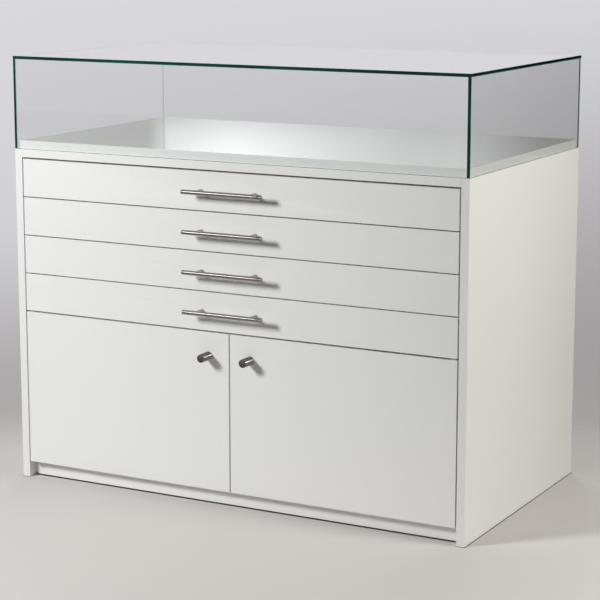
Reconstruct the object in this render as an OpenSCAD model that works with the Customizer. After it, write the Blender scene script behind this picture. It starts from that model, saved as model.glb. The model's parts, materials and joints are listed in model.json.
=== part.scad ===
// Pedestal display case: a white cabinet with drawers and two doors below a glass hood that lifts off.
// All lengths are millimetres. The origin is on the floor, in the middle of the whole footprint
// with the handles counted in. +X is to the right, -Y is the front and +Z is up.

/* [Cabinet] */
// Width over the two side panels
case_w = 1070; // [760:10:1500]
// Depth from the front faces to the back panel, without the handles
case_d = 600; // [450:10:800]
// Height of the cabinet up to the upper face of its top board
cabinet_h = 735; // [650:5:1000]
// Thickness of the cabinet's boards, drawer fronts and doors
board_t = 18; // [16:1:22]
// Thickness of the back panel
back_t = 18; // [8:1:22]
// Gap between the top board and the upper drawer front
top_gap = 3.5; // [1.5:0.1:5]
// Gap between one drawer front and the next
drawer_gap = 2.5; // [1.5:0.1:4]
// Gap between the lowest drawer front and the doors, which takes the pivot plates
door_gap = 3.5; // [2.2:0.1:5]
// Gap between the two doors
middle_gap = 3.5; // [1.5:0.1:5]
// Gap between a front and the side panel beside it
side_gap = 3; // [1.8:0.1:4]
// Room between the boards behind the doors and the doors' rear corners as they swing past
swing_play = 0.8; // [0.4:0.1:3]

/* [Base] */
// Height of the doors' lower edges above the floor
door_lift = 37; // [30:1:120]
// How far the plinth stands back from the front faces
plinth_setback = 22; // [20:1:60]
// Gap between the plinth and the floor
plinth_lift = 3; // [1:0.5:10]

/* [Glass hood] */
// Height of the hood above the cabinet
hood_h = 200; // [100:5:500]
// Thickness of the panes
glass_t = 6; // [4:1:10]
// Thickness of the raised display deck under the hood
deck_t = 18; // [10:1:40]
// Gap between the deck's edges and the panes around it
deck_play = 3; // [1:0.5:6]

/* [Drawers] */
// Number of drawers, one above the other
drawer_count = 4; // [1:1:4]
// Height of a drawer front
front_h = 81.5; // [75:0.5:95]
// Height of a drawer box behind its front
box_h = 60; // [48:1:72]
// Thickness of a drawer box's sides and back
box_t = 15; // [12:1:18]
// Gap between a closed drawer box and the back panel
box_rear_gap = 24; // [5:1:60]
// Thickness of a drawer's bottom panel
bottom_t = 6; // [4:1:8]
// Depth of the groove that holds the bottom panel
groove_d = 7; // [4:1:9]
// Height of the groove above the lower edge of the box
groove_lift = 8; // [5:1:12]
// Play of the bottom panel in its groove
groove_play = 0.2; // [0.1:0.1:0.4]

/* [Drawer slides] */
// Slides come in lengths that are a multiple of this
slide_step = 50; // [25:25:50]
// Height of a slide's outer channel
slide_h = 45; // [35:1:46]
// Space that a slide takes between the cabinet side and the drawer box
slide_w = 13; // [12.5:0.1:14]
// Sheet thickness of the three channels
slide_t = 1.2; // [1:0.1:1.4]
// Play between two nested channels
slide_play = 0.4; // [0.3:0.1:0.6]

/* [Handles] */
// Distance between the two posts of a bar handle
post_pitch = 128; // [96:32:192]
// Diameter of the posts
post_d = 8; // [6:0.5:9]
// Diameter of the bar
bar_d = 10; // [10:0.5:14]
// Gap between a post's hollowed end and the bar that it holds
bar_fit = 0.05; // [0.02:0.01:0.1]
// Length of bar beyond each post
bar_overhang = 30; // [10:1:50]
// How far a bar handle stands out from the front
handle_reach = 35; // [28:1:45]
// Chamfer at the ends of the bar and of the knobs
metal_chamfer = 0.6; // [0.2:0.1:1]

/* [Knobs] */
// Diameter of a door knob
knob_d = 18; // [12:1:25]
// How far a knob stands out from the door
knob_l = 33; // [20:1:40]
// Distance of a knob's axis below the door's upper edge
knob_drop = 50; // [35:1:150]
// Distance of a knob's axis from the cabinet's centre line
knob_offset = 50; // [20:1:150]

/* [Screws] */
// Diameter of the screws of the handles and knobs
screw_d = 4; // [3:0.5:5]
// Length of these screws beyond the board
screw_grip = 7; // [5:1:10]
// Spare depth of the threaded hole beyond the screw
thread_spare = 1; // [0.5:0.5:3]
// Diameter of the screw heads
head_d = 8; // [6.5:0.5:10]
// Height of the screw heads
head_t = 2.8; // [2:0.1:3.5]
// Gap around a screw in the board
screw_play = 0.25; // [0.1:0.05:0.5]
// Gap around a screw in its thread
thread_play = 0.03; // [0.02:0.01:0.05]

/* [Door pivots] */
// Distance of a door's pivot axis from the door's outer edge
pivot_from_edge = 10; // [10:0.5:14]
// Distance of the pivot axis from the door's front face
pivot_from_face = 6; // [5.8:0.1:6.2]
// Diameter of the pivot pins
pin_d = 4; // [3:0.5:5]
// Length of the pivot pins
pin_l = 10; // [6:1:11]
// Gap around a pin in its bush
pin_play = 0.05; // [0.02:0.01:0.08]
// Outer diameter of the bushes
bush_d = 8; // [7:0.5:9]
// Length of the bushes
bush_l = 12; // [12:1:16]
// Diameter of the flange on a bush
flange_d = 11; // [10:0.2:11.4]
// Gap between a flange and the pivot plate
flange_play = 0.2; // [0.1:0.05:0.3]
// Gap around a bush in the door
bush_play = 0.02; // [0.01:0.01:0.04]
// Thickness of the pivot plates
plate_t = 1.5; // [1:0.1:1.6]
// Width of a pivot plate's narrow front part
plate_nose_w = 11; // [9:0.5:11.5]
// Length of a pivot plate's wide rear part
plate_pad_l = 26; // [22:1:40]
// Gap between the plinth and a plate's wide part
plate_pad_gap = 2; // [1:0.5:5]
// Distance between the two screws of a pivot plate
plate_screw_pitch = 14; // [12:1:18]
// Diameter of the screws of the plates
plate_screw_d = 3.5; // [3:0.5:4]
// Length of the screws of the plates, in the board
plate_screw_l = 13; // [10:1:14]
// Diameter of the heads of these screws
plate_head_d = 7; // [6:0.5:8]
// Height of the heads of these screws
plate_head_t = 2; // [1.5:0.1:2.5]
// Gap between a pivot plate and the plinth around it
notch_play = 0.5; // [0.3:0.1:1]

/* [Door catches] */
// Width of a magnetic catch
catch_w = 46; // [30:1:60]
// Depth of a magnetic catch
catch_d = 15; // [10:1:20]
// Height of a magnetic catch
catch_h = 12; // [10:1:16]
// Distance of a catch's middle from the cabinet's centre line
catch_offset = 45; // [35:1:120]
// Width of the steel plate on the door that the magnet holds
strike_w = 38; // [20:1:46]
// Height of the steel plate on the door
strike_h = 12; // [8:1:14]
// Thickness of the steel plate on the door
strike_t = 1.5; // [1:0.1:2]
// Gap between the magnet and its steel plate
catch_gap = 0.3; // [0.2:0.1:0.5]

/* [Hidden] */
// How far the handles and knobs reach in front of the cabinet
front_reach = max(handle_reach, knob_l);
// Planes across the depth: front faces, front edges of the boards behind them, back panel
y_front = (front_reach - case_d) / 2;
y_rear = y_front + case_d;
y_fronts_back = y_front + board_t;
y_back = y_rear - back_t;
y_plinth = y_front + plinth_setback;
// The door's rear corner circles its pivot at this radius, and the boards stand clear of it
y_pivot = y_front + pivot_from_face;
corner_swing = norm([pivot_from_edge, board_t - pivot_from_face]);
y_boards = y_pivot + corner_swing + swing_play;
// Planes across the width: outer faces and inner faces of the side panels
x_outer = case_w / 2;
x_inner = x_outer - board_t;
front_w = 2 * (x_inner - side_gap);
door_w = (front_w - middle_gap) / 2;
// Heights: the drawer fronts hang below the top board, and the doors fill what is left
z_under_top = cabinet_h - board_t;
drawer_pitch = front_h + drawer_gap;
function front_top(n) = z_under_top - top_gap - (n - 1) * drawer_pitch;
function front_mid(n) = front_top(n) - front_h / 2;
door_top = front_top(drawer_count) - front_h - door_gap;
// The pivot plates lie in the middle of the gap between the lowest drawer and the doors
plate_gap = (door_gap - plate_t) / 2;
z_middle_top = door_top + plate_gap;
z_bottom_under = door_lift - plate_gap;
flange_t = plate_gap - flange_play;
// Drawer boxes
box_half = x_inner - slide_w;
box_l = y_back - box_rear_gap - y_fronts_back;
y_box_end = y_fronts_back + box_l;
function box_low(n) = front_mid(n) - box_h / 2;
function groove_low(n) = box_low(n) + groove_lift;
// Slides: the longest stock length that fits beside a box
slide_l = slide_step * floor((y_box_end - y_boards) / slide_step);
member_step = slide_t + slide_play;
member_w = slide_w - 2 * member_step;
// Handles and knobs
bar_l = post_pitch + 2 * bar_overhang;
y_bar = y_front - handle_reach + bar_d / 2;
thread_l = screw_grip + thread_spare;
z_knob = door_top - knob_drop;
// Pivots
x_pivot = x_inner - side_gap - pivot_from_edge;
plate_neck_l = y_plinth + board_t + plate_pad_gap - y_pivot;
plate_pad_w = 2 * pivot_from_edge;
bush_inner_d = pin_d + 2 * pin_play;
// Catches
y_catch = y_fronts_back + strike_t + catch_gap;
z_catch_top = z_middle_top - board_t;
// Cuts reach this far beyond the faces that they open
cut = 1;
$fn = 48;

DRAWERS = [for (n = [1:drawer_count]) str("drawer_", n)];
DRAWER_PIECES = ["front", "sides", "back", "bottom", "handle", "handle_screws",
                 "slide_inner", "slide_middle"];
SIDES = ["left", "right"];
DOOR_PIECES = ["door", "door_knob", "door_knob_screw", "door_bushes", "door_strike"];

// Finishes
WHITE_BOARD = [0.91, 0.91, 0.89];
GLOSS_WHITE = [0.95, 0.95, 0.94];
DRAWER_BOARD = [0.86, 0.86, 0.84];
CLEAR_GLASS = [0.72, 0.86, 0.82, 0.35];
STAINLESS = [0.62, 0.61, 0.59];
ZINC = [0.70, 0.72, 0.74];
PALE_PLASTIC = [0.88, 0.88, 0.86];

// A box from its lowest corner to its highest corner
module block(low, high) {
    translate(low) cube(high - low);
}

// The same piece on the right and, mirrored, on the left
module on_side(side) {
    if (side == "left") mirror([1, 0, 0]) children();
    else children();
}

// A round bar along +Z with chamfered ends
module chamfered_bar(d, l) {
    r = d / 2;
    c = metal_chamfer;
    rotate_extrude() polygon([[0, 0], [r - c, 0], [r, c], [r, l - c], [r - c, l], [0, l]]);
}

// A cylinder that lies along Y, from one plane to another
module along_y(d, from, to) {
    translate([0, from, 0]) rotate([-90, 0, 0]) cylinder(d = d, h = to - from);
}

// A pan-head screw from inside a front into a handle or knob
module front_screw() {
    along_y(screw_d, y_front - screw_grip, y_fronts_back);
    along_y(head_d, y_fronts_back, y_fronts_back + head_t);
}

// Hole for such a screw through the board
module screw_hole() {
    along_y(screw_d + 2 * screw_play, y_front - cut, y_fronts_back + cut);
}

// Threaded hole for such a screw in a post or knob
module thread_hole() {
    along_y(screw_d + 2 * thread_play, y_front - thread_l, y_front + cut);
}

// Places of the two posts of a handle
module at_posts() {
    for (x = [-post_pitch / 2, post_pitch / 2]) translate([x, 0, 0]) children();
}

// Side panel, from the floor to the cabinet's top
module side_panel(side) {
    color(WHITE_BOARD) on_side(side) block([x_inner, y_front, 0], [x_outer, y_rear, cabinet_h]);
}

// Top board between the side panels, flush with their front and top edges
module top_board() {
    color(WHITE_BOARD) block([-x_inner, y_front, z_under_top], [x_inner, y_rear, cabinet_h]);
}

// Board between the drawers and the cupboard
module middle_board() {
    color(WHITE_BOARD) difference() {
        block([-x_inner, y_boards, z_middle_top - board_t], [x_inner, y_back, z_middle_top]);
        for (side = SIDES) on_side(side) at_plate_screws()
            translate([0, 0, z_middle_top - plate_screw_l - thread_spare])
                cylinder(d = plate_screw_d + 2 * thread_play, h = plate_screw_l + thread_spare + cut);
    }
}

// Floor of the cupboard
module bottom_board() {
    color(WHITE_BOARD) difference() {
        block([-x_inner, y_boards, z_bottom_under], [x_inner, y_back, z_bottom_under + board_t]);
        for (side = SIDES) on_side(side) at_plate_screws()
            translate([0, 0, z_bottom_under - cut])
                cylinder(d = plate_screw_d + 2 * thread_play, h = plate_screw_l + thread_spare + cut);
    }
}

// Back panel between the side panels
module back_panel() {
    color(WHITE_BOARD) block([-x_inner, y_back, plinth_lift], [x_inner, y_rear, z_under_top]);
}

// Set-back plinth, notched at its upper corners for the lower pivot plates
module plinth_board() {
    color(WHITE_BOARD) difference() {
        block([-x_inner, y_plinth, plinth_lift], [x_inner, y_plinth + board_t, z_bottom_under]);
        for (side = SIDES) on_side(side)
            block([x_pivot - plate_nose_w / 2 - notch_play, y_plinth - cut,
                   z_bottom_under - plate_t - notch_play],
                  [x_pivot + plate_nose_w / 2 + notch_play, y_plinth + board_t + cut,
                   z_bottom_under + cut]);
    }
}

// Raised gloss deck that the goods stand on, which also centres the hood
module display_deck() {
    inset = glass_t + deck_play;
    color(GLOSS_WHITE) block([inset - x_outer, y_front + inset, cabinet_h],
                             [x_outer - inset, y_rear - inset, cabinet_h + deck_t]);
}

// Hood: the top pane lies over the four upright panes
hood_top = cabinet_h + hood_h;
hood_under_top = hood_top - glass_t;

module hood_top_glass() {
    color(CLEAR_GLASS) block([-x_outer, y_front, hood_under_top], [x_outer, y_rear, hood_top]);
}

module hood_side_glass(side) {
    color(CLEAR_GLASS) on_side(side)
        block([x_outer - glass_t, y_front, cabinet_h], [x_outer, y_rear, hood_under_top]);
}

// Front or back pane, between the side panes; y is its front face
module hood_long_glass(y) {
    color(CLEAR_GLASS) block([glass_t - x_outer, y, cabinet_h],
                             [x_outer - glass_t, y + glass_t, hood_under_top]);
}

// Channel of a slide on the right: x from low to high, the web on one side, open on the other
module slide_channel(low, high, half_h, web_at_high, z) {
    inner_low = web_at_high ? low - cut : low + slide_t;
    inner_high = web_at_high ? high - slide_t : high + cut;
    difference() {
        block([low, y_boards, z - half_h], [high, y_boards + slide_l, z + half_h]);
        block([inner_low, y_boards - cut, z - half_h + slide_t],
              [inner_high, y_boards + slide_l + cut, z + half_h - slide_t]);
    }
}

// Outer channels, fixed to a side panel, one for each drawer
module slide_outers(side) {
    color(ZINC) on_side(side) for (n = [1:drawer_count])
        slide_channel(x_inner - member_w, x_inner, slide_h / 2, true, front_mid(n));
}

// Middle channels of one drawer, which travel half as far as the drawer
module drawer_slide_middle(n) {
    color(ZINC) for (side = SIDES) on_side(side)
        slide_channel(x_inner - member_step - member_w, x_inner - member_step,
                      slide_h / 2 - member_step, true, front_mid(n));
}

// Inner channels, fixed to the sides of the drawer box
module drawer_slide_inner(n) {
    color(ZINC) for (side = SIDES) on_side(side)
        slide_channel(box_half, box_half + member_w, slide_h / 2 - 2 * member_step,
                      false, front_mid(n));
}

// Drawer front with the holes of its handle and a groove for the bottom panel
module drawer_front(n) {
    color(WHITE_BOARD) difference() {
        block([-front_w / 2, y_front, front_top(n) - front_h],
              [front_w / 2, y_fronts_back, front_top(n)]);
        translate([0, 0, front_mid(n)]) at_posts() screw_hole();
        bottom_groove(n);
    }
}

// The space of the grooves in the front and the two sides
module bottom_groove(n) {
    reach = box_half - box_t + groove_d;
    block([-reach, y_fronts_back - groove_d, groove_low(n)],
          [reach, y_box_end + cut, groove_low(n) + bottom_t + groove_play]);
}

module drawer_sides(n) {
    color(DRAWER_BOARD) difference() {
        for (side = SIDES) on_side(side)
            block([box_half - box_t, y_fronts_back, box_low(n)],
                  [box_half, y_box_end, box_low(n) + box_h]);
        bottom_groove(n);
    }
}

// Back of the drawer box, standing on the bottom panel
module drawer_back(n) {
    color(DRAWER_BOARD)
        block([box_t - box_half, y_box_end - box_t, groove_low(n) + bottom_t],
              [box_half - box_t, y_box_end, box_low(n) + box_h]);
}

module drawer_bottom(n) {
    reach = box_half - box_t + groove_d - groove_play;
    color(DRAWER_BOARD)
        block([-reach, y_fronts_back - groove_d + groove_play, groove_low(n)],
              [reach, y_box_end, groove_low(n) + bottom_t]);
}

// Bar handle: a bar and two posts whose ends fit round the bar
module drawer_handle(n) {
    color(STAINLESS) translate([0, 0, front_mid(n)]) {
        translate([-bar_l / 2, y_bar, 0]) rotate([0, 90, 0]) chamfered_bar(bar_d, bar_l);
        difference() {
            at_posts() along_y(post_d, y_bar, y_front);
            translate([-bar_l / 2, y_bar, 0]) rotate([0, 90, 0])
                cylinder(d = bar_d + 2 * bar_fit, h = bar_l);
            at_posts() thread_hole();
        }
    }
}

module drawer_handle_screws(n) {
    color(ZINC) translate([0, 0, front_mid(n)]) at_posts() front_screw();
}

// Door with its knob hole and the blind holes of its two bushes
module door(side) {
    color(WHITE_BOARD) on_side(side) difference() {
        block([middle_gap / 2, y_front, door_lift], [middle_gap / 2 + door_w, y_fronts_back, door_top]);
        translate([knob_offset, 0, z_knob]) screw_hole();
        at_pivots() translate([0, 0, -cut]) cylinder(d = bush_d + 2 * bush_play, h = bush_l + cut);
    }
}

// The door's two edges at the pivot axis: +Z points into the door from each
module at_pivots() {
    translate([x_pivot, y_pivot, door_lift]) children();
    translate([x_pivot, y_pivot, door_top]) mirror([0, 0, 1]) children();
}

// Cylindrical knob with a chamfered face
module door_knob(side) {
    color(STAINLESS) on_side(side) translate([knob_offset, 0, z_knob]) difference() {
        translate([0, y_front, 0]) rotate([90, 0, 0]) chamfered_bar(knob_d, knob_l);
        thread_hole();
    }
}

module door_knob_screw(side) {
    color(ZINC) on_side(side) translate([knob_offset, 0, z_knob]) front_screw();
}

// Flanged bushes in the door's lower and upper edge
module door_bushes(side) {
    color(PALE_PLASTIC) on_side(side) at_pivots() difference() {
        union() {
            cylinder(d = bush_d, h = bush_l);
            translate([0, 0, -flange_t]) cylinder(d = flange_d, h = flange_t);
        }
        translate([0, 0, -flange_t - cut]) cylinder(d = bush_inner_d, h = flange_t + bush_l + 2 * cut);
    }
}

// Steel plate on the back of the door, which the catch holds
module door_strike(side) {
    z_mid = z_catch_top - catch_h / 2;
    color(ZINC) on_side(side)
        block([catch_offset - strike_w / 2, y_fronts_back, z_mid - strike_h / 2],
              [catch_offset + strike_w / 2, y_fronts_back + strike_t, z_mid + strike_h / 2]);
}

// Magnetic catches under the middle board
module door_catches() {
    color(PALE_PLASTIC) for (side = SIDES) on_side(side)
        block([catch_offset - catch_w / 2, y_catch, z_catch_top - catch_h],
              [catch_offset + catch_w / 2, y_catch + catch_d, z_catch_top]);
}

// Places of the screws of a pivot plate, on the right
module at_plate_screws() {
    pad_mid = y_pivot + plate_neck_l + plate_pad_l / 2;
    for (dy = [-plate_screw_pitch / 2, plate_screw_pitch / 2])
        translate([x_pivot, pad_mid + dy, 0]) children();
}

// Pivot plate seen from above: a round nose at the pin and a wide pad for the screws
module plate_outline() {
    difference() {
        union() {
            translate([x_pivot, y_pivot]) circle(d = plate_nose_w);
            translate([x_pivot - plate_nose_w / 2, y_pivot])
                square([plate_nose_w, plate_neck_l + plate_pad_l]);
            translate([x_pivot - plate_pad_w / 2, y_pivot + plate_neck_l])
                square([plate_pad_w, plate_pad_l]);
        }
        at_plate_screws() circle(d = plate_screw_d + 2 * screw_play);
    }
}

// Two pivot plates on each side: under the bottom board and on the middle board
module door_pivots() {
    color(ZINC) for (side = SIDES) on_side(side) {
        union() {
            translate([0, 0, z_bottom_under - plate_t]) linear_extrude(plate_t) plate_outline();
            translate([x_pivot, y_pivot, z_bottom_under - plate_t])
                cylinder(d = pin_d, h = plate_t + pin_l);
        }
        union() {
            translate([0, 0, z_middle_top]) linear_extrude(plate_t) plate_outline();
            translate([x_pivot, y_pivot, z_middle_top - pin_l])
                cylinder(d = pin_d, h = pin_l + plate_t);
        }
    }
}

// A plate's screw along +Z, its head below z = 0
module plate_screw() {
    translate([0, 0, -plate_head_t]) cylinder(d = plate_head_d, h = plate_head_t);
    cylinder(d = plate_screw_d, h = plate_t + plate_screw_l);
}

module door_pivot_screws() {
    color(ZINC) for (side = SIDES) on_side(side) at_plate_screws() {
        translate([0, 0, z_bottom_under - plate_t]) plate_screw();
        translate([0, 0, z_middle_top + plate_t]) mirror([0, 0, 1]) plate_screw();
    }
}

side_panel("left");  // left_side_panel
side_panel("right");  // right_side_panel
top_board();
middle_board();
bottom_board();
back_panel();
plinth_board();
display_deck();
slide_outers("left");  // left_slide_outers
slide_outers("right");  // right_slide_outers
door_pivots();
door_pivot_screws();
door_catches();
hood_top_glass();
hood_long_glass(y_front);  // hood_front_glass
hood_long_glass(y_rear - glass_t);  // hood_back_glass
hood_side_glass("left");  // hood_left_glass
hood_side_glass("right");  // hood_right_glass
for (n = [1:drawer_count]) {
    drawer_front(n);
    drawer_sides(n);
    drawer_back(n);
    drawer_bottom(n);
    drawer_handle(n);
    drawer_handle_screws(n);
    drawer_slide_inner(n);
    drawer_slide_middle(n);
}
for (side = SIDES) {
    door(side);
    door_knob(side);
    door_knob_screw(side);
    door_bushes(side);
    door_strike(side);
}
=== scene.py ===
import json
import math
import bmesh
import bpy
import numpy as np
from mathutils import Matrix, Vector

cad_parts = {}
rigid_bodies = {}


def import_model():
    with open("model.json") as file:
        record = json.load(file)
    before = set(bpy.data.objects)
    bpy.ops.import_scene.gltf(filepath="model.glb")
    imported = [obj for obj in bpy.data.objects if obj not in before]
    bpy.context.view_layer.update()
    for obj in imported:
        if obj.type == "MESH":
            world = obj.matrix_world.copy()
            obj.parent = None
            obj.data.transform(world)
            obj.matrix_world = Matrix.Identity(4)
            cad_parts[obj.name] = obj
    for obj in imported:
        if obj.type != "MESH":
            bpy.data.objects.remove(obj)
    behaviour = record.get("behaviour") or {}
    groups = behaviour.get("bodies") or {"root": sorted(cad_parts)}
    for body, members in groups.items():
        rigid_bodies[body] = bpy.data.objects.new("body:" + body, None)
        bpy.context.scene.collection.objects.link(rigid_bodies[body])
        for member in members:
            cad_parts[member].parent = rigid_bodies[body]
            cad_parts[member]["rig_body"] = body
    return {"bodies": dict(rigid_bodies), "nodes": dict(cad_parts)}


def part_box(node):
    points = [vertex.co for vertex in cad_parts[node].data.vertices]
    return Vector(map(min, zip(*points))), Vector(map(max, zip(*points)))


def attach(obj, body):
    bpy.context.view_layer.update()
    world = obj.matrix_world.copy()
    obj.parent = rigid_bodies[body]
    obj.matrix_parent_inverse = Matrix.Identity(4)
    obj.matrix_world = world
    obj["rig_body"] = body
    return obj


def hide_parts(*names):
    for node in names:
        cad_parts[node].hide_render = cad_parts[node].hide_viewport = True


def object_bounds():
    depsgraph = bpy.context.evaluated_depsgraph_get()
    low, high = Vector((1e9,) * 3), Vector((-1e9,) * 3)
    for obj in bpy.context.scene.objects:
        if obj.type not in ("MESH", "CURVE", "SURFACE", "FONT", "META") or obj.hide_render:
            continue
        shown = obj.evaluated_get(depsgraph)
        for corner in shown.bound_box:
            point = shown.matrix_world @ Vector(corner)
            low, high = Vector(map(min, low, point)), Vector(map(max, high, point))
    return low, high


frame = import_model()
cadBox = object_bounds()

mm = 0.001
scene = bpy.context.scene
scene.view_settings.view_transform = "Standard"


# Helpers for node trees

# One node with its settings, and its inputs given as values or as sockets to link from.
def addNode(tree, kind, settings=None, inputs=None):
    node = tree.nodes.new(kind)
    for name, value in (settings or {}).items():
        setattr(node, name, value)
    for key, value in (inputs or {}).items():
        if isinstance(value, bpy.types.NodeSocket):
            tree.links.new(value, node.inputs[key])
        else:
            node.inputs[key].default_value = value
    return node


def colour(red, green, blue):
    return (red, green, blue, 1.0)


def mathNode(tree, operation, first, second=0.5, clamp=False):
    node = addNode(tree, "ShaderNodeMath", {"operation": operation, "use_clamp": clamp},
                   {0: first, 1: second})
    return node.outputs[0]


def mapRange(tree, value, low, high, newLow=0.0, newHigh=1.0, smooth=True):
    kind = "SMOOTHSTEP" if smooth else "LINEAR"
    node = addNode(tree, "ShaderNodeMapRange", {"interpolation_type": kind},
                   {"Value": value, "From Min": low, "From Max": high,
                    "To Min": newLow, "To Max": newHigh})
    return node.outputs["Result"]


# On a Mix node of colours the inputs 6 and 7 are the colours, and output 2 is the result.
def mixColour(tree, amount, first, second, blend="MIX"):
    node = addNode(tree, "ShaderNodeMix", {"data_type": "RGBA", "blend_type": blend},
                   {0: amount, 6: first, 7: second})
    return node.outputs[2]


# The angle in degrees whose sine comes in.
def angleOf(tree, sine):
    return mathNode(tree, "MULTIPLY", mathNode(tree, "ARCSINE", sine), math.degrees(1.0))


# A share that rises from its first height to its second and falls from its third to its fourth.
def heightBand(tree, height, start, full, easing, end, share=1.0):
    return mathNode(tree, "MULTIPLY", mapRange(tree, height, start, full, 0.0, share),
                    mapRange(tree, height, easing, end, 1.0, 0.0))


# A material and its node tree, emptied.
def newFinish(name):
    material = bpy.data.materials.new(name)
    material.use_nodes = True
    tree = material.node_tree
    tree.nodes.clear()
    return material, tree


def endFinish(tree, shader):
    addNode(tree, "ShaderNodeOutputMaterial", None, {"Surface": shader})


# Meshes from grids of points

def addObject(name, data):
    made = bpy.data.objects.new(name, data)
    scene.collection.objects.link(made)
    return made


# Quads between neighbouring rows and columns of a grid of points.
def gridFaces(rows, columns, closed):
    index = np.arange(rows * columns).reshape(rows, columns)
    nextColumn = np.roll(index, -1, axis=1)
    last = columns if closed else columns - 1
    quads = np.stack((index[:-1, :last], nextColumn[:-1, :last],
                      nextColumn[1:, :last], index[1:, :last]), -1)
    return quads.reshape(-1, 4).tolist(), index


# Smooth shading, with a sharp edge where two faces meet at more than this angle.
def tidyShading(mesh, sharpDegrees=35.0):
    mesh.polygons.foreach_set("use_smooth", np.ones(len(mesh.polygons), bool))
    mesh.set_sharp_from_angle(angle=math.radians(sharpDegrees))


# A mesh over a grid of points, with flat caps on its first and last rows where asked.
def gridPiece(name, points, capStart=False, capEnd=False, closed=True):
    rows, columns = points.shape[:2]
    faces, index = gridFaces(rows, columns, closed)
    if capStart:
        faces.append(index[0][::-1].tolist())
    if capEnd:
        faces.append(index[-1].tolist())
    mesh = bpy.data.meshes.new(name)
    mesh.from_pydata(points.reshape(-1, 3), [], faces)
    return addObject(name, mesh)


# Normals of a closed shell turned to its outside.
def turnOutwards(mesh):
    shell = bmesh.new()
    shell.from_mesh(mesh)
    bmesh.ops.recalc_face_normals(shell, faces=shell.faces)
    shell.to_mesh(mesh)
    shell.free()


def faceNormals(mesh):
    normals = np.empty(len(mesh.polygons) * 3, np.float32)
    mesh.polygons.foreach_get("normal", normals)
    return normals.reshape(-1, 3)


# Each face takes the material with its number in the list.
def setFinishes(mesh, numbers):
    mesh.polygons.foreach_set("material_index", numbers.astype(np.int32))


# Several closed shells as one piece.
def joinPieces(name, pieces):
    whole = bmesh.new()
    for piece in pieces:
        whole.from_mesh(piece.data)
    mesh = bpy.data.meshes.new(name)
    whole.to_mesh(mesh)
    whole.free()
    for piece in pieces:
        bpy.data.objects.remove(piece)
    return addObject(name, mesh)


# Stage, lights and camera

cameraLook = {
    "place": (1.973, -3.6436, 1.2126),   # metres from the cabinet's middle, on the floor
    "turn": 28.255,                      # degrees to the left of straight ahead
    "dip": 10.19,                        # degrees below level
    "lens": 115.29,                      # mm
    "sensor": 36.0,                      # mm
    "riseOfFrame": -0.05,                # share of the sensor
    "reach": 60.0,                       # metres
}


def makeCamera(look):
    data = bpy.data.cameras.new("photoCamera")
    data.lens = look["lens"]
    data.sensor_width = look["sensor"]
    data.shift_y = look["riseOfFrame"]
    data.clip_end = look["reach"]
    camera = addObject("photoCamera", data)
    camera.location = look["place"]
    camera.rotation_euler = (math.radians(90 - look["dip"]), 0.0, math.radians(look["turn"]))
    scene.camera = camera


makeCamera(cameraLook)

lampLook = {
    # degrees left of the cabinet's front, degrees up, distance and width in metres, watts, colour
    "keyLamp": (31.4, 23.3, 2.8, 0.60, 57.6, (0.99, 1.0, 0.996)),
    "sideLamp": (-84.0, 18.0, 2.2, 0.80, 24.4, (1.0, 0.977, 0.925)),
    "topLamp": (180.0, 75.0, 3.0, 1.20, 6.5, (1.0, 0.95, 0.90)),
    "rearLamp": (152.0, 8.0, 3.0, 1.20, 34.0, (1.0, 0.985, 0.96)),
}


# A direction as a vector, from its degrees to the left of the cabinet's front and its degrees up.
def towards(left, up):
    turn, rise = math.radians(left), math.radians(up)
    return Vector((-math.sin(turn) * math.cos(rise), -math.cos(turn) * math.cos(rise),
                   math.sin(rise)))


# A square area lamp on a sphere round the cabinet's middle, facing it. Gloss and glass show what
# the world has in its place.
def makeLamp(name, left, up, distance, width, power, tint):
    data = bpy.data.lights.new(name, "AREA")
    data.size = width
    data.energy = power
    data.color = tint
    lamp = addObject(name, data)
    lamp.location = (cadBox[0] + cadBox[1]) / 2 + towards(left, up) * distance
    lamp.rotation_euler = towards(left, up).to_track_quat("Z", "Y").to_euler()
    lamp.visible_glossy = False
    lamp.visible_transmission = False
    return lamp


for lampName, values in lampLook.items():
    makeLamp(lampName, *values)

backdropLook = {
    "ambient": (0.045, 0.045, 0.045),
    # the backdrop's paper by height in degrees, from the floor up
    "paperTones": ((-17.0, (0.70, 0.67, 0.65)), (-13.0, (0.61, 0.60, 0.62)),
                   (4.6, (0.75, 0.745, 0.78))),
    # the shade at its foot: the heights where it starts, is full, eases and ends, and its share
    "leftShade": (-16.9, -14.2, -14.2, -8.0, 0.40),
    "rightShade": (-17.6, -14.2, -13.0, -0.3, 0.50),
    "shadeTone": (0.10, 0.085, 0.07),
    "sides": (-0.15, 0.15),            # sines of the turns from the frame's middle to its sides
    "over": (4.6, 5.8),                # the heights of the paper's top edge
    "overLeft": (0.62, 0.62, 0.62),
    "overRight": (0.28, 0.28, 0.28),
    "rearPanel": (1.82, 1.85, 1.87),   # a bright panel over the backdrop, which gloss mirrors
    "panelHeights": (5.0, 6.6, 24.0, 32.0),   # where it starts, is full, eases and ends
    "panelAhead": (0.5, 0.8),          # cosines of the turns from straight ahead where it fades in
    # share of the panel's tone, by degrees to the right of the frame's middle
    "panelShares": ((-4.5, 0.0), (-3.9, 0.72), (-2.3, 1.0), (-1.7, 1.0), (1.1, 0.55), (3.1, 0.35),
                    (5.3, 0.31), (7.3, 0.0)),
    # tones of the room behind the camera by height in degrees, which gloss mirrors
    "roomTones": ((-40.0, (0.20, 0.19, 0.18)), (-12.0, (0.15, 0.145, 0.14)),
                  (-4.0, (0.42, 0.41, 0.40)), (12.0, (0.46, 0.45, 0.44)),
                  (24.0, (0.06, 0.06, 0.06)), (50.0, (0.02, 0.02, 0.02))),
    "roomAhead": (-0.3, 0.3),          # and the same cosines for where the backdrop takes over
}


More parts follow.
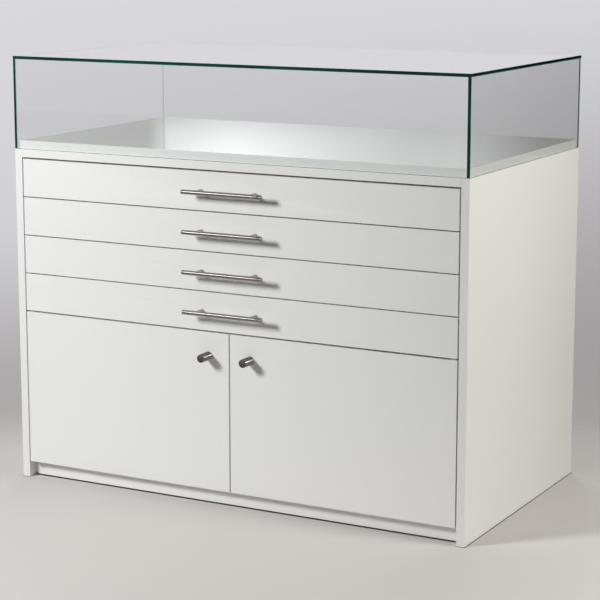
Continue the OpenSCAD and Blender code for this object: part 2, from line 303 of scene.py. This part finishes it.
# A ramp of tones over an angle in degrees, straight from each tone to the next.
def toneRamp(tree, angleSocket, tones):
    lowest, highest = tones[0][0], tones[-1][0]
    ramp = addNode(tree, "ShaderNodeValToRGB", None,
                   {0: mapRange(tree, angleSocket, lowest, highest, smooth=False)})
    elements = ramp.color_ramp.elements
    while len(elements) < len(tones):
        elements.new(0.5)   # the next loop sets its place
    for element, (angle, tone) in zip(elements, tones):
        element.position = (angle - lowest) / (highest - lowest)
        element.color = colour(*tone)
    return ramp.outputs["Color"]


# The cosine of the angle between a direction and a fixed one.
def alongDirection(tree, direction, toward):
    node = addNode(tree, "ShaderNodeVectorMath", {"operation": "DOT_PRODUCT"},
                   {0: direction, 1: toward})
    return node.outputs["Value"]


# 1 on a path that was mirrored on its way, also where it then went through a pane.
def wasMirrored(tree, rays):
    mirrored = mathNode(tree, "GREATER_THAN", rays["Glossy Depth"], 0.5)
    return mathNode(tree, "SUBTRACT", mirrored, rays["Is Diffuse Ray"], True)


# Plain grey light on the cabinet. The camera, glass and gloss see the studio's backdrop, and gloss
# also sees the bright panel over it and the darker room behind the camera. Heights are degrees
# over the horizon.
def makeWorld(look):
    world = bpy.data.worlds.new("studio")
    scene.world = world
    world.use_nodes = True
    tree = world.node_tree
    tree.nodes.clear()
    direction = addNode(tree, "ShaderNodeTexCoord").outputs["Generated"]
    rise = addNode(tree, "ShaderNodeSeparateXYZ", None, {0: direction}).outputs["Z"]
    height = angleOf(tree, rise)
    turn = math.radians(cameraLook["turn"])
    sideways = alongDirection(tree, direction, (math.cos(turn), math.sin(turn), 0.0))
    ahead = alongDirection(tree, direction, (-math.sin(turn), math.cos(turn), 0.0))
    atRight = mapRange(tree, sideways, *look["sides"], smooth=False)
    shades = [heightBand(tree, height, *look[side]) for side in ("leftShade", "rightShade")]
    shade = mapRange(tree, atRight, 0.0, 1.0, *shades, smooth=False)
    backdrop = mixColour(tree, shade, toneRamp(tree, height, look["paperTones"]),
                         colour(*look["shadeTone"]))
    over = mixColour(tree, atRight, colour(*look["overLeft"]), colour(*look["overRight"]))
    backdrop = mixColour(tree, mapRange(tree, height, *look["over"]), backdrop, over)
    room = mixColour(tree, mapRange(tree, ahead, *look["roomAhead"]),
                     toneRamp(tree, height, look["roomTones"]), backdrop)
    shares = tuple((angle, (share,) * 3) for angle, share in look["panelShares"])
    panel = mathNode(tree, "MULTIPLY", heightBand(tree, height, *look["panelHeights"]),
                     toneRamp(tree, angleOf(tree, sideways), shares))
    panel = mathNode(tree, "MULTIPLY", panel, mapRange(tree, ahead, *look["panelAhead"]))
    mirrored = mixColour(tree, panel, room, colour(*look["rearPanel"]))
    rays = addNode(tree, "ShaderNodeLightPath").outputs
    seen = mathNode(tree, "ADD", rays["Is Camera Ray"], rays["Is Transmission Ray"], True)
    shown = mixColour(tree, seen, colour(*look["ambient"]), backdrop)
    shown = mixColour(tree, wasMirrored(tree, rays), shown, mirrored)
    background = addNode(tree, "ShaderNodeBackground", None, {"Color": shown, "Strength": 1.0})
    addNode(tree, "ShaderNodeOutputWorld", None, {"Surface": background.outputs[0]})


makeWorld(backdropLook)

# Reaches are distances in metres from the floor's middle.
floorLook = {
    "middle": (0.16, -0.30),
    "radii": (0.02, 1.6),
    "rings": 12, "spokes": 96,
    # the floor's tone turns from near to far, paler away from its middle: painted light where the
    # lamps reach it less
    "near": (0.715, 0.69, 0.675),
    "far": (0.80, 0.785, 0.77),
    "toneReach": (0.55, 1.0),       # from the near tone to the far one
    "fade": (0.65, 1.25),           # from opaque to clear
    "roughness": 0.6, "specular": 0.2,
    # the floor painted dark under the cabinet and in a thin strip round its foot: painted shade
    "hidden": (0.12, 0.11, 0.10),   # the floor under and close against the cabinet
    # two opposite corners, in metres, of its part under the boards and of those at the side
    # panels, which reach a little past the panels as a painted contact shadow
    "hiddenAreas": (((-0.517, -0.2605), (0.517, 0.3195)),
                    ((-0.5370, -0.2845), (-0.516, 0.3195)),
                    ((0.516, -0.2845), (0.5372, 0.3195))),
    "mirroredFade": (0.25, 0.80),   # gloss mirrors no more than the floor's middle
}


# A disc whose rim fades into the backdrop, as rings of points round its middle.
def makeFloor(look):
    radius, angle = np.meshgrid(np.linspace(*look["radii"], look["rings"]),
                                np.linspace(0, 2 * np.pi, look["spokes"], endpoint=False),
                                indexing="ij")
    points = np.stack((look["middle"][0] + radius * np.cos(angle),
                       look["middle"][1] + radius * np.sin(angle), np.zeros_like(radius)), -1)
    floor = gridPiece("studioFloor", points, capStart=True)
    material, tree = newFinish("paleFloor")
    place = addNode(tree, "ShaderNodeTexCoord").outputs["Object"]
    centred = addNode(tree, "ShaderNodeVectorMath", {"operation": "SUBTRACT"},
                      {0: place, 1: (*look["middle"], 0.0)}).outputs["Vector"]
    away = addNode(tree, "ShaderNodeVectorMath", {"operation": "LENGTH"},
                   {0: centred}).outputs["Value"]
    # painted light: the tone turns paler away from the floor's middle
    tone = mixColour(tree, mapRange(tree, away, *look["toneReach"]), colour(*look["near"]),
                     colour(*look["far"]))
    axes = addNode(tree, "ShaderNodeSeparateXYZ", None, {0: place}).outputs
    # painted shade: the floor's tone turns dark inside each of these areas
    for area in look["hiddenAreas"]:
        under = 1.0
        for axis, low, high in zip("XY", *area):
            past = mathNode(tree, "GREATER_THAN", axes[axis], low)
            under = mathNode(tree, "MULTIPLY", past, under)
            before = mathNode(tree, "LESS_THAN", axes[axis], high)
            under = mathNode(tree, "MULTIPLY", before, under)
        tone = mixColour(tree, under, tone, colour(*look["hidden"]))
    surface = addNode(tree, "ShaderNodeBsdfPrincipled", None,
                      {"Base Color": tone, "Roughness": look["roughness"],
                       "Specular IOR Level": look["specular"]})
    clear = addNode(tree, "ShaderNodeBsdfTransparent")
    fade = mapRange(tree, away, *look["fade"])
    mirroredFade = mapRange(tree, away, *look["mirroredFade"])
    rays = addNode(tree, "ShaderNodeLightPath").outputs
    fade = mathNode(tree, "MAXIMUM", fade,
                    mathNode(tree, "MULTIPLY", mirroredFade, wasMirrored(tree, rays)))
    mixed = addNode(tree, "ShaderNodeMixShader", None,
                    {0: fade, 1: surface.outputs[0], 2: clear.outputs[0]})
    endFinish(tree, mixed.outputs[0])
    floor.data.materials.append(material)


makeFloor(floorLook)

flagLook = {"from": (0.68, 1.2, -0.6), "to": (3.2, 1.2, 0.95), "steps": 5,
            "paleOver": (0.85, 1.25),   # metres to the right over which it turns paler
            "pale": 0.10}


# An upright flag behind the cabinet's right which only gloss mirrors, a flat grid between two
# opposite corners. Its tone is its own faint glow, dark and paler outwards: a painted dark
# reflection.
def makeFlag(look):
    low, high = look["from"], look["to"]
    x, z = np.meshgrid(np.linspace(low[0], high[0], look["steps"]),
                       np.linspace(low[2], high[2], look["steps"]), indexing="ij")
    flag = gridPiece("darkFlag", np.stack((x, np.full_like(x, low[1]), z), -1), closed=False)
    flag.visible_camera = False
    flag.visible_diffuse = False
    flag.visible_shadow = False
    material, tree = newFinish("blackCloth")
    rays = addNode(tree, "ShaderNodeLightPath").outputs
    place = addNode(tree, "ShaderNodeTexCoord").outputs["Object"]
    across = addNode(tree, "ShaderNodeSeparateXYZ", None, {0: place}).outputs["X"]
    # painted dark reflection: a glow from black to faintly pale outwards
    tone = mapRange(tree, across, *look["paleOver"], 0.0, look["pale"])
    dark = addNode(tree, "ShaderNodeEmission", None, {"Color": tone})
    clear = addNode(tree, "ShaderNodeBsdfTransparent")
    mixed = addNode(tree, "ShaderNodeMixShader", None,
                    {0: wasMirrored(tree, rays), 1: clear.outputs[0], 2: dark.outputs[0]})
    endFinish(tree, mixed.outputs[0])
    flag.data.materials.append(material)


makeFlag(flagLook)
print("stage, lamps and camera made")


# Effects that several finishes share, as node groups

def newGroup(name, inputs, outputs):
    group = bpy.data.node_groups.new(name, "ShaderNodeTree")
    number = {"socket_type": "NodeSocketFloat"}
    for label, value in inputs.items():
        socket = group.interface.new_socket(name=label, in_out="INPUT", **number)
        socket.default_value = value
    for label in outputs:
        group.interface.new_socket(name=label, in_out="OUTPUT", **number)
    source = group.nodes.new("NodeGroupInput").outputs
    result = group.nodes.new("NodeGroupOutput").inputs
    return group, source, result


def noise(tree, place, scale, detail=2.0, rough=0.5):
    node = addNode(tree, "ShaderNodeTexNoise", None,
                   {"Vector": place, "Scale": scale, "Detail": detail, "Roughness": rough})
    return node.outputs["Fac"]


noiseReach = (0.3, 0.7)   # most of a noise lies between these
# How the noises in the two groups are made and mixed
pressedMix = {"broadScale": 0.23, "broadDetail": 1.0, "pebbleShare": 0.6, "broadShare": 0.4,
              "driftDetail": 3.0}
brushMix = {"lineDetail": 3.0, "lineRough": 0.6, "cloudDetail": 3.0}


# Fine pebbling of a pressed or moulded surface: two sizes of noise, and a slow drift of tone.
def makePressedSurface():
    group, source, result = newGroup(
        "pressedSurface", {"Pebble scale": 700.0, "Drift scale": 3.0, "Drift": 0.02},
        ("Height", "Tone", "Gloss drift"))
    place = addNode(group, "ShaderNodeTexCoord").outputs["Object"]
    pebbles = noise(group, place, source["Pebble scale"])
    broadScale = mathNode(group, "MULTIPLY", source["Pebble scale"], pressedMix["broadScale"])
    broad = noise(group, place, broadScale, pressedMix["broadDetail"])
    height = mathNode(group, "ADD",
                      mathNode(group, "MULTIPLY", pebbles, pressedMix["pebbleShare"]),
                      mathNode(group, "MULTIPLY", broad, pressedMix["broadShare"]))
    drift = noise(group, place, source["Drift scale"], pressedMix["driftDetail"])
    half = mathNode(group, "SUBTRACT", drift, 0.5)
    tone = mathNode(group, "ADD", mathNode(group, "MULTIPLY", half, source["Drift"]), 1.0)
    group.links.new(height, result["Height"])
    group.links.new(tone, result["Tone"])
    group.links.new(drift, result["Gloss drift"])
    return group


# Fine lines along X with a slower cloud over them, as grinding leaves on bar and sheet.
def makeMetalBrush():
    group, source, result = newGroup(
        "metalBrush", {"Line scale": 900.0, "Stretch": 0.02, "Cloud scale": 18.0},
        ("Lines", "Cloud"))
    place = addNode(group, "ShaderNodeTexCoord").outputs["Object"]
    parts = addNode(group, "ShaderNodeSeparateXYZ", None, {0: place}).outputs
    drawn = addNode(group, "ShaderNodeCombineXYZ", None,
                    {"X": mathNode(group, "MULTIPLY", parts["X"], source["Stretch"]),
                     "Y": parts["Y"], "Z": parts["Z"]}).outputs[0]
    lines = noise(group, drawn, source["Line scale"], brushMix["lineDetail"],
                  brushMix["lineRough"])
    cloud = noise(group, place, source["Cloud scale"], brushMix["cloudDetail"])
    group.links.new(lines, result["Lines"])
    group.links.new(cloud, result["Cloud"])
    return group


pressedSurface = makePressedSurface()
metalBrush = makeMetalBrush()


# Finishes

# A shared effect placed in a material with its own values.
def placeGroup(tree, group, values):
    node = tree.nodes.new("ShaderNodeGroup")
    node.node_tree = group
    for label, value in values.items():
        node.inputs[label].default_value = value
    return node.outputs


# Board or plastic: an even tone that drifts a little, pebbling in the bump, uneven gloss.
def makePressedFinish(name, look):
    material, tree = newFinish(name)
    effect = placeGroup(tree, pressedSurface, {"Pebble scale": look["pebbleScale"],
                                               "Drift scale": look["driftScale"],
                                               "Drift": look["drift"]})
    tone = mixColour(tree, 1.0, colour(*look["tone"]), effect["Tone"], "MULTIPLY")
    gloss = mapRange(tree, effect["Gloss drift"], *noiseReach,
                     look["roughness"] - look["glossDrift"],
                     look["roughness"] + look["glossDrift"])
    bump = addNode(tree, "ShaderNodeBump", None,
                   {"Strength": look["bump"], "Distance": look["bumpDepth"],
                    "Height": effect["Height"]})
    shader = addNode(tree, "ShaderNodeBsdfPrincipled", None,
                     {"Base Color": tone, "Roughness": gloss, "IOR": look["ior"],
                      "Normal": bump.outputs[0]})
    endFinish(tree, shader.outputs[0])
    return material


melamineLook = {"tone": (0.875, 0.875, 0.855), "roughness": 0.42, "glossDrift": 0.04, "ior": 1.48,
                "pebbleScale": 650.0, "bump": 0.12, "bumpDepth": 0.00015,
                "driftScale": 2.5, "drift": 0.02}
edgeBandLook = {"tone": (0.865, 0.865, 0.845), "roughness": 0.34, "glossDrift": 0.03, "ior": 1.48,
                "pebbleScale": 420.0, "bump": 0.08, "bumpDepth": 0.00015,
                "driftScale": 4.0, "drift": 0.02}
deckLook = {"tone": (0.88, 0.885, 0.88), "roughness": 0.06, "glossDrift": 0.015, "ior": 1.5,
            "pebbleScale": 90.0, "bump": 0.03, "bumpDepth": 0.0001,
            "driftScale": 3.0, "drift": 0.012}
drawerBoardLook = {"tone": (0.80, 0.80, 0.78), "roughness": 0.55, "glossDrift": 0.05, "ior": 1.46,
                   "pebbleScale": 300.0, "bump": 0.2, "bumpDepth": 0.0002,
                   "driftScale": 6.0, "drift": 0.03}
nylonLook = {"tone": (0.82, 0.82, 0.79), "roughness": 0.45, "glossDrift": 0.06, "ior": 1.5,
             "pebbleScale": 1400.0, "bump": 0.15, "bumpDepth": 0.0001,
             "driftScale": 30.0, "drift": 0.03}


# Brushed metal: fine lines in tone, gloss and bump, and a cloud of slightly duller patches.
def makeMetalFinish(name, look):
    material, tree = newFinish(name)
    effect = placeGroup(tree, metalBrush, {"Line scale": look["lineScale"],
                                           "Stretch": look["stretch"],
                                           "Cloud scale": look["cloudScale"]})
    lineTone = mapRange(tree, effect["Lines"], *noiseReach, 1.0 - look["lineTone"],
                        1.0 + look["lineTone"])
    tone = mixColour(tree, 1.0, colour(*look["tone"]), lineTone, "MULTIPLY")
    gloss = mathNode(tree, "ADD",
                     mapRange(tree, effect["Lines"], *noiseReach, -look["lineGloss"],
                              look["lineGloss"]),
                     mapRange(tree, effect["Cloud"], *noiseReach,
                              look["roughness"] - look["cloudGloss"],
                              look["roughness"] + look["cloudGloss"]))
    bump = addNode(tree, "ShaderNodeBump", None,
                   {"Strength": look["bump"], "Distance": look["bumpDepth"],
                    "Height": effect["Lines"]})
    shader = addNode(tree, "ShaderNodeBsdfPrincipled", None,
                     {"Base Color": tone, "Metallic": 1.0, "Roughness": gloss,
                      "Normal": bump.outputs[0]})
    if "turnedStretch" in look:   # grooves round the Y axis spread the gloss along it
        turned = addNode(tree, "ShaderNodeTangent", {"direction_type": "RADIAL", "axis": "Y"})
        tree.links.new(turned.outputs[0], shader.inputs["Tangent"])
        shader.inputs["Anisotropic"].default_value = look["turnedStretch"]
        shader.inputs["Anisotropic Rotation"].default_value = look["turnedRotation"]
    endFinish(tree, shader.outputs[0])
    return material


stainlessLook = {"tone": (0.38, 0.355, 0.335), "roughness": 0.20, "lineScale": 2800.0,
                 "stretch": 0.002, "cloudScale": 40.0, "lineTone": 0.05, "lineGloss": 0.02,
                 "cloudGloss": 0.01, "bump": 0.004, "bumpDepth": 0.00003}
turnedLook = {"tone": (0.33, 0.305, 0.285), "roughness": 0.436, "lineScale": 1600.0,
              "stretch": 1.0, "cloudScale": 40.0, "lineTone": 0.05, "lineGloss": 0.03,
              "cloudGloss": 0.02, "bump": 0.03, "bumpDepth": 0.00003, "turnedStretch": 1.0,
              "turnedRotation": 0.25}
zincLook = {"tone": (0.66, 0.67, 0.68), "roughness": 0.42, "lineScale": 700.0,
            "stretch": 0.2, "cloudScale": 60.0, "lineTone": 0.03, "lineGloss": 0.02,
            "cloudGloss": 0.04, "bump": 0.015, "bumpDepth": 0.00003}

glassLook = {"tint": (0.976, 0.982, 0.979), "roughness": 0.0, "ior": 1.5,
             "lampTint": (0.970, 0.976, 0.973),
             "inner": (0.86, 0.93, 0.91),   # an edge seen from inside the pane
             "streakScale": 6.0, "streakReach": (0.35, 0.7)}
# The polished edges along a pane; those at its two ends, facing left and right, in a darker green
# that is painted shade; and the ground arrises between, in a paler green that is partly the ground
# glass's own look and partly a painted highlight
glassEdgeLook = {"deep": (0.0005, 0.022, 0.016), "pale": (0.002, 0.050, 0.036),
                 "roughness": 0.08, "specular": 0.2}
paintedShadeGlassEndLook = {"deep": (0.0005, 0.004, 0.003), "pale": (0.001, 0.012, 0.009),
                "roughness": 0.08, "specular": 0.15}
# the arrises' paler green is partly the ground glass's own look and partly a painted highlight
glassArrisHighlightLook = {"deep": (0.010, 0.110, 0.085), "pale": (0.020, 0.180, 0.140),
                  "roughness": 0.20, "specular": 0.5}


# Clear float glass. Light on its way to a lamp, and scattered light, pass straight through.
def makeClearGlass(look):
    material, tree = newFinish("clearGlass")
    glass = addNode(tree, "ShaderNodeBsdfPrincipled", None,
                    {"Base Color": colour(*look["tint"]), "Roughness": look["roughness"],
                     "IOR": look["ior"], "Transmission Weight": 1.0})
    through = addNode(tree, "ShaderNodeBsdfTransparent", None,
                      {"Color": colour(*look["lampTint"])})
    rays = addNode(tree, "ShaderNodeLightPath").outputs
    lighting = mathNode(tree, "MAXIMUM", rays["Is Shadow Ray"], rays["Is Diffuse Ray"])
    mixed = addNode(tree, "ShaderNodeMixShader", None,
                    {0: lighting, 1: glass.outputs[0], 2: through.outputs[0]})
    endFinish(tree, mixed.outputs[0])
    return material


# The edge of float glass: deep green, slightly paler in places, and clear from inside the pane.
def makeGlassEdge(name, look, pane):
    material, tree = newFinish(name)
    place = addNode(tree, "ShaderNodeTexCoord").outputs["Object"]
    streaks = noise(tree, place, pane["streakScale"])
    tone = mixColour(tree, mapRange(tree, streaks, *pane["streakReach"]), colour(*look["deep"]),
                     colour(*look["pale"]))
    edge = addNode(tree, "ShaderNodeBsdfPrincipled", None,
                   {"Base Color": tone, "Roughness": look["roughness"], "IOR": pane["ior"],
                    "Specular IOR Level": look["specular"]})
    inner = addNode(tree, "ShaderNodeBsdfTransparent", None, {"Color": colour(*pane["inner"])})
    inside = addNode(tree, "ShaderNodeNewGeometry").outputs["Backfacing"]
    rays = addNode(tree, "ShaderNodeLightPath").outputs
    passing = mathNode(tree, "MAXIMUM", inside, rays["Is Shadow Ray"])
    mixed = addNode(tree, "ShaderNodeMixShader", None,
                    {0: passing, 1: edge.outputs[0], 2: inner.outputs[0]})
    endFinish(tree, mixed.outputs[0])
    return material


clearGlass = makeClearGlass(glassLook)
glassEdge = makeGlassEdge("glassEdge", glassEdgeLook, glassLook)
glassEnd = makeGlassEdge("glassEnd", paintedShadeGlassEndLook, glassLook)
glassArris = makeGlassEdge("glassArris", glassArrisHighlightLook, glassLook)
finishes = {
    "white_board": makePressedFinish("whiteMelamine", melamineLook),
    "gloss_deck": makePressedFinish("glossDeck", deckLook),
    "drawer_board": makePressedFinish("drawerBoard", drawerBoardLook),
    "pale_plastic": makePressedFinish("paleNylon", nylonLook),
    "stainless": makeMetalFinish("brushedStainless", stainlessLook),
    "zinc_steel": makeMetalFinish("zincPlate", zincLook),
    "clear_glass": clearGlass,
}
edgeBand = makePressedFinish("edgeBand", edgeBandLook)
turnedStainless = makeMetalFinish("turnedStainless", turnedLook)
print("finishes made:", ", ".join(finishes))


# The name of the material slot that a CAD node has.
def nodeSlot(node):
    return frame["nodes"][node].data.materials[0].name.split(".")[0]


# The piece is shown in the CAD node's place, on its body.
def standFor(piece, node):
    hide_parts(node)
    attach(piece, frame["nodes"][node]["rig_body"])


# Boards: each keeps its CAD shape and gets eased edges

# Angles are in degrees between neighbouring faces.
boardLook = {"ease": 0.6 * mm, "boxEase": 0.4 * mm, "deckEase": 0.5 * mm, "easeSteps": 2,
             "mergeWithin": 0.005 * mm, "flatBelow": 0.2, "easeAbove": 50.0, "sharpAbove": 60.0,
             "edgeBelow": 0.5}   # a normal with less than this across the board is an edge's


# The node's own shape with merged corners and rounded edges; its narrow faces take the band.
def boardCopy(node, ease, finish, band=None):
    mesh = frame["nodes"][node].data.copy()
    mesh.name = node + "_eased"
    shell = bmesh.new()
    shell.from_mesh(mesh)
    bmesh.ops.remove_doubles(shell, verts=shell.verts, dist=boardLook["mergeWithin"])
    bmesh.ops.dissolve_limit(shell, angle_limit=math.radians(boardLook["flatBelow"]),
                             verts=shell.verts, edges=shell.edges)
    shell.to_mesh(mesh)
    shell.free()
    mesh.materials.clear()
    mesh.materials.append(finish)
    piece = addObject(node + "_eased", mesh)
    if band:
        mesh.materials.append(band)
        low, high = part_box(node)
        thin = int(np.argmin(np.array(high - low)))
        setFinishes(mesh, np.abs(faceNormals(mesh)[:, thin]) < boardLook["edgeBelow"])
    tidyShading(mesh, boardLook["sharpAbove"])
    bevel = piece.modifiers.new("easedEdges", "BEVEL")
    bevel.width = ease
    bevel.segments = boardLook["easeSteps"]
    bevel.limit_method = "ANGLE"
    bevel.angle_limit = math.radians(boardLook["easeAbove"])
    bevel.harden_normals = True
    standFor(piece, node)


carcassBoards = ("left_side_panel", "right_side_panel", "top_board", "middle_board",
                 "bottom_board", "back_panel", "plinth_board")
drawerNames = [body for body in frame["bodies"] if body.startswith("drawer_")
               and not body.endswith("_runner")]
for node in carcassBoards + ("left_door", "right_door"):
    boardCopy(node, boardLook["ease"], finishes["white_board"], edgeBand)
for drawer in drawerNames:
    boardCopy(drawer + "_front", boardLook["ease"], finishes["white_board"], edgeBand)
    for part in ("_sides", "_back", "_bottom"):
        boardCopy(drawer + part, boardLook["boxEase"], finishes["drawer_board"])
boardCopy("display_deck", boardLook["deckEase"], finishes["gloss_deck"])
print("boards eased")


# Glass hood

# The last three are shares of a normal: across the pane on its faces and on its edges, and
# upwards on the lower edges of the upright panes.
hoodLook = {"arris": 0.7 * mm, "bondLine": 0.12 * mm, "faceAbove": 0.9, "edgeBelow": 0.1,
            "seatBelow": -0.3}


# A pane as one outline carried round its four corners: face, ground arris, edge, arris, face.
def paneSurface(node, look, shrink):
    low, high = (np.array(corner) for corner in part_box(node))
    low, high = low + shrink, high - shrink
    thin = int(np.argmin(high - low))
    across, along = [axis for axis in range(3) if axis != thin]
    middle, half = (low + high) / 2, (high - low) / 2
    arris = look["arris"]
    inset = np.array([arris, 0.0, 0.0, arris])
    depth = np.array([-half[thin], arris - half[thin], half[thin] - arris, half[thin]])
    signs = np.array([[-1, -1], [1, -1], [1, 1], [-1, 1]])
    points = np.empty((len(inset), len(signs), 3))
    points[:, :, thin] = middle[thin] + depth[:, None]
    points[:, :, across] = middle[across] + signs[:, 0] * (half[across] - inset[:, None])
    points[:, :, along] = middle[along] + signs[:, 1] * (half[along] - inset[:, None])
    pane = gridPiece(node + "_pane", points, capStart=True, capEnd=True)
    turnOutwards(pane.data)
    for finish in (clearGlass, glassEdge, glassArris, glassEnd):
        pane.data.materials.append(finish)
    normals = faceNormals(pane.data)
    slope = np.abs(normals[:, thin])
    # edges facing left and right take the darker end tone: painted shade
    atEnd = np.abs(normals[:, 0]) > look["faceAbove"]
    # the lower edges of the upright panes, their arrises too, keep the plain edge tone, without
    # the painted highlight
    seated = (normals[:, 2] < look["seatBelow"]) & (thin != 2)
    alongEdge = seated | (slope < look["edgeBelow"])
    setFinishes(pane.data, np.select([slope > look["faceAbove"], atEnd, alongEdge], [0, 3, 1], 2))
    standFor(pane, node)


# How far both ends of each pane give way to the bond, along X, Y and Z
bond = hoodLook["bondLine"]
paneShrink = {
    "hood_top_glass": (0, 0, 0),
    "hood_left_glass": (0, 0, bond / 2),
    "hood_right_glass": (0, 0, bond / 2),
    "hood_front_glass": (bond, 0, bond / 2),
    "hood_back_glass": (bond, 0, bond / 2),
}
for node, shrink in paneShrink.items():
    paneSurface(node, hoodLook, np.array(shrink))
print("hood glazed")


# Handles and knobs

# Lamps that light one kind of fitting alone, for the glint along it, with values as in lampLook
glintLook = {
    "barGlint": (32.5, 22.5, 2.4, 0.70, 8.5, (1.0, 1.0, 1.0)),
    "barGlintMiddle": (0.0, 22.5, 2.4, 1.00, 17.0, (1.0, 1.0, 1.0)),
    "barGlintRight": (-32.5, 22.5, 2.4, 1.00, 17.0, (1.0, 1.0, 1.0)),
    "knobGlint": (-85.0, 21.0, 2.2, 0.35, 95.0, (1.0, 0.99, 0.97)),
}
metalLook = {"barDiameter": 10.0 * mm, "postDiameter": 8.0 * mm, "postPitch": 128.0 * mm,
             "chamfer": 0.6 * mm, "segments": 64, "rimSteps": 5, "barRings": 9, "barEnds": 0.1,
             "postRings": 6, "barrelBelow": 0.1}   # a normal with less along Y is the barrel's


# A profile of distances along an axis and radii, carried once round it.
def turnedPiece(name, along, radius, start, axis, segments):
    axis = np.array(axis, float)
    first = np.array([axis[2], axis[0], axis[1]])
    second = np.cross(axis, first)
    angle = np.linspace(0, 2 * np.pi, segments, endpoint=False)
    ring = np.cos(angle)[:, None] * first + np.sin(angle)[:, None] * second
    points = (np.array(start) + along[:, None, None] * axis + radius[:, None, None] * ring)
    return gridPiece(name, points, capStart=True, capEnd=True)


# Distances and radii of a plain bar whose rims are rounded over a quarter circle.
def barProfile(length, radius, look):
    bend = np.linspace(0, np.pi / 2, look["rimSteps"])
    rimAlong = look["chamfer"] * (1 - np.cos(bend))
    rimRadius = radius - look["chamfer"] * (1 - np.sin(bend))
    middle = np.linspace(look["barEnds"], 1 - look["barEnds"], look["barRings"]) * length
    along = np.concatenate((rimAlong, middle, length - rimAlong[::-1]))
    radii = np.concatenate((rimRadius, np.full(len(middle), radius), rimRadius[::-1]))
    return along, radii


# A round post whose far end follows the bar: a saddle at the bar's own radius.
def postPiece(name, place, front, barLine, look):
    radius, barRadius = look["postDiameter"] / 2, look["barDiameter"] / 2
    angle = np.linspace(0, 2 * np.pi, look["segments"] // 2, endpoint=False)
    across, up = radius * np.cos(angle), radius * np.sin(angle)
    saddle = barLine + np.sqrt(barRadius ** 2 - up ** 2)
    share = np.linspace(0, 1, look["postRings"])[:, None]
    depth = front + share * (saddle[None, :] - front)
    points = np.stack((np.broadcast_to(place[0] + across, depth.shape), depth,
                       np.broadcast_to(place[1] + up, depth.shape)), -1)
    return gridPiece(name, points, capStart=True, capEnd=True)


# A bar along X that fills the node's box in front, on two posts.
def makeHandle(node, look):
    low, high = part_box(node)
    radius = look["barDiameter"] / 2
    middle = (low + high) / 2
    barLine = low.y + radius
    along, radii = barProfile(high.x - low.x, radius, look)
    shells = [turnedPiece("bar", along, radii, (low.x, barLine, middle.z), (1, 0, 0),
                          look["segments"])]
    for side in (-1, 1):
        shells.append(postPiece("post", (middle.x + side * look["postPitch"] / 2, middle.z),
                                high.y, barLine, look))
    handle = joinPieces(node + "_turned", shells)
    turnOutwards(handle.data)
    tidyShading(handle.data)
    handle.data.materials.append(finishes["stainless"])
    standFor(handle, node)
    return handle


# A plain cylinder along Y that fills the node's box, with lathe marks round its barrel.
def makeKnob(node, look):
    low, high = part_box(node)
    middle = (low + high) / 2
    along, radii = barProfile(high.y - low.y, (high.x - low.x) / 2, look)
    knob = turnedPiece(node + "_turned", along, radii, (middle.x, low.y, middle.z), (0, 1, 0),
                       look["segments"])
    turnOutwards(knob.data)
    tidyShading(knob.data)
    knob.data.materials.append(finishes["stainless"])
    knob.data.materials.append(turnedStainless)
    setFinishes(knob.data, np.abs(faceNormals(knob.data)[:, 1]) < look["barrelBelow"])
    standFor(knob, node)
    return knob


# A lamp that gloss shows, on these fittings and nothing else.
def makeGlint(name, values, fittings):
    glint = makeLamp(name, *values)
    glint.visible_glossy = True
    lit = bpy.data.collections.new(name + "Lit")
    for fitting in fittings:
        lit.objects.link(fitting)
    glint.light_linking.receiver_collection = lit


handles = [makeHandle(drawer + "_handle", metalLook) for drawer in drawerNames]
knobs = [makeKnob(door + "_knob", metalLook) for door in ("left_door", "right_door")]
for lampName, values in glintLook.items():
    makeGlint(lampName, values, handles if lampName.startswith("bar") else knobs)
print("handles and knobs turned")


# Everything else keeps its CAD mesh

for name, node in frame["nodes"].items():
    node.material_slots[0].link = "OBJECT"
    node.material_slots[0].material = finishes[nodeSlot(name)]
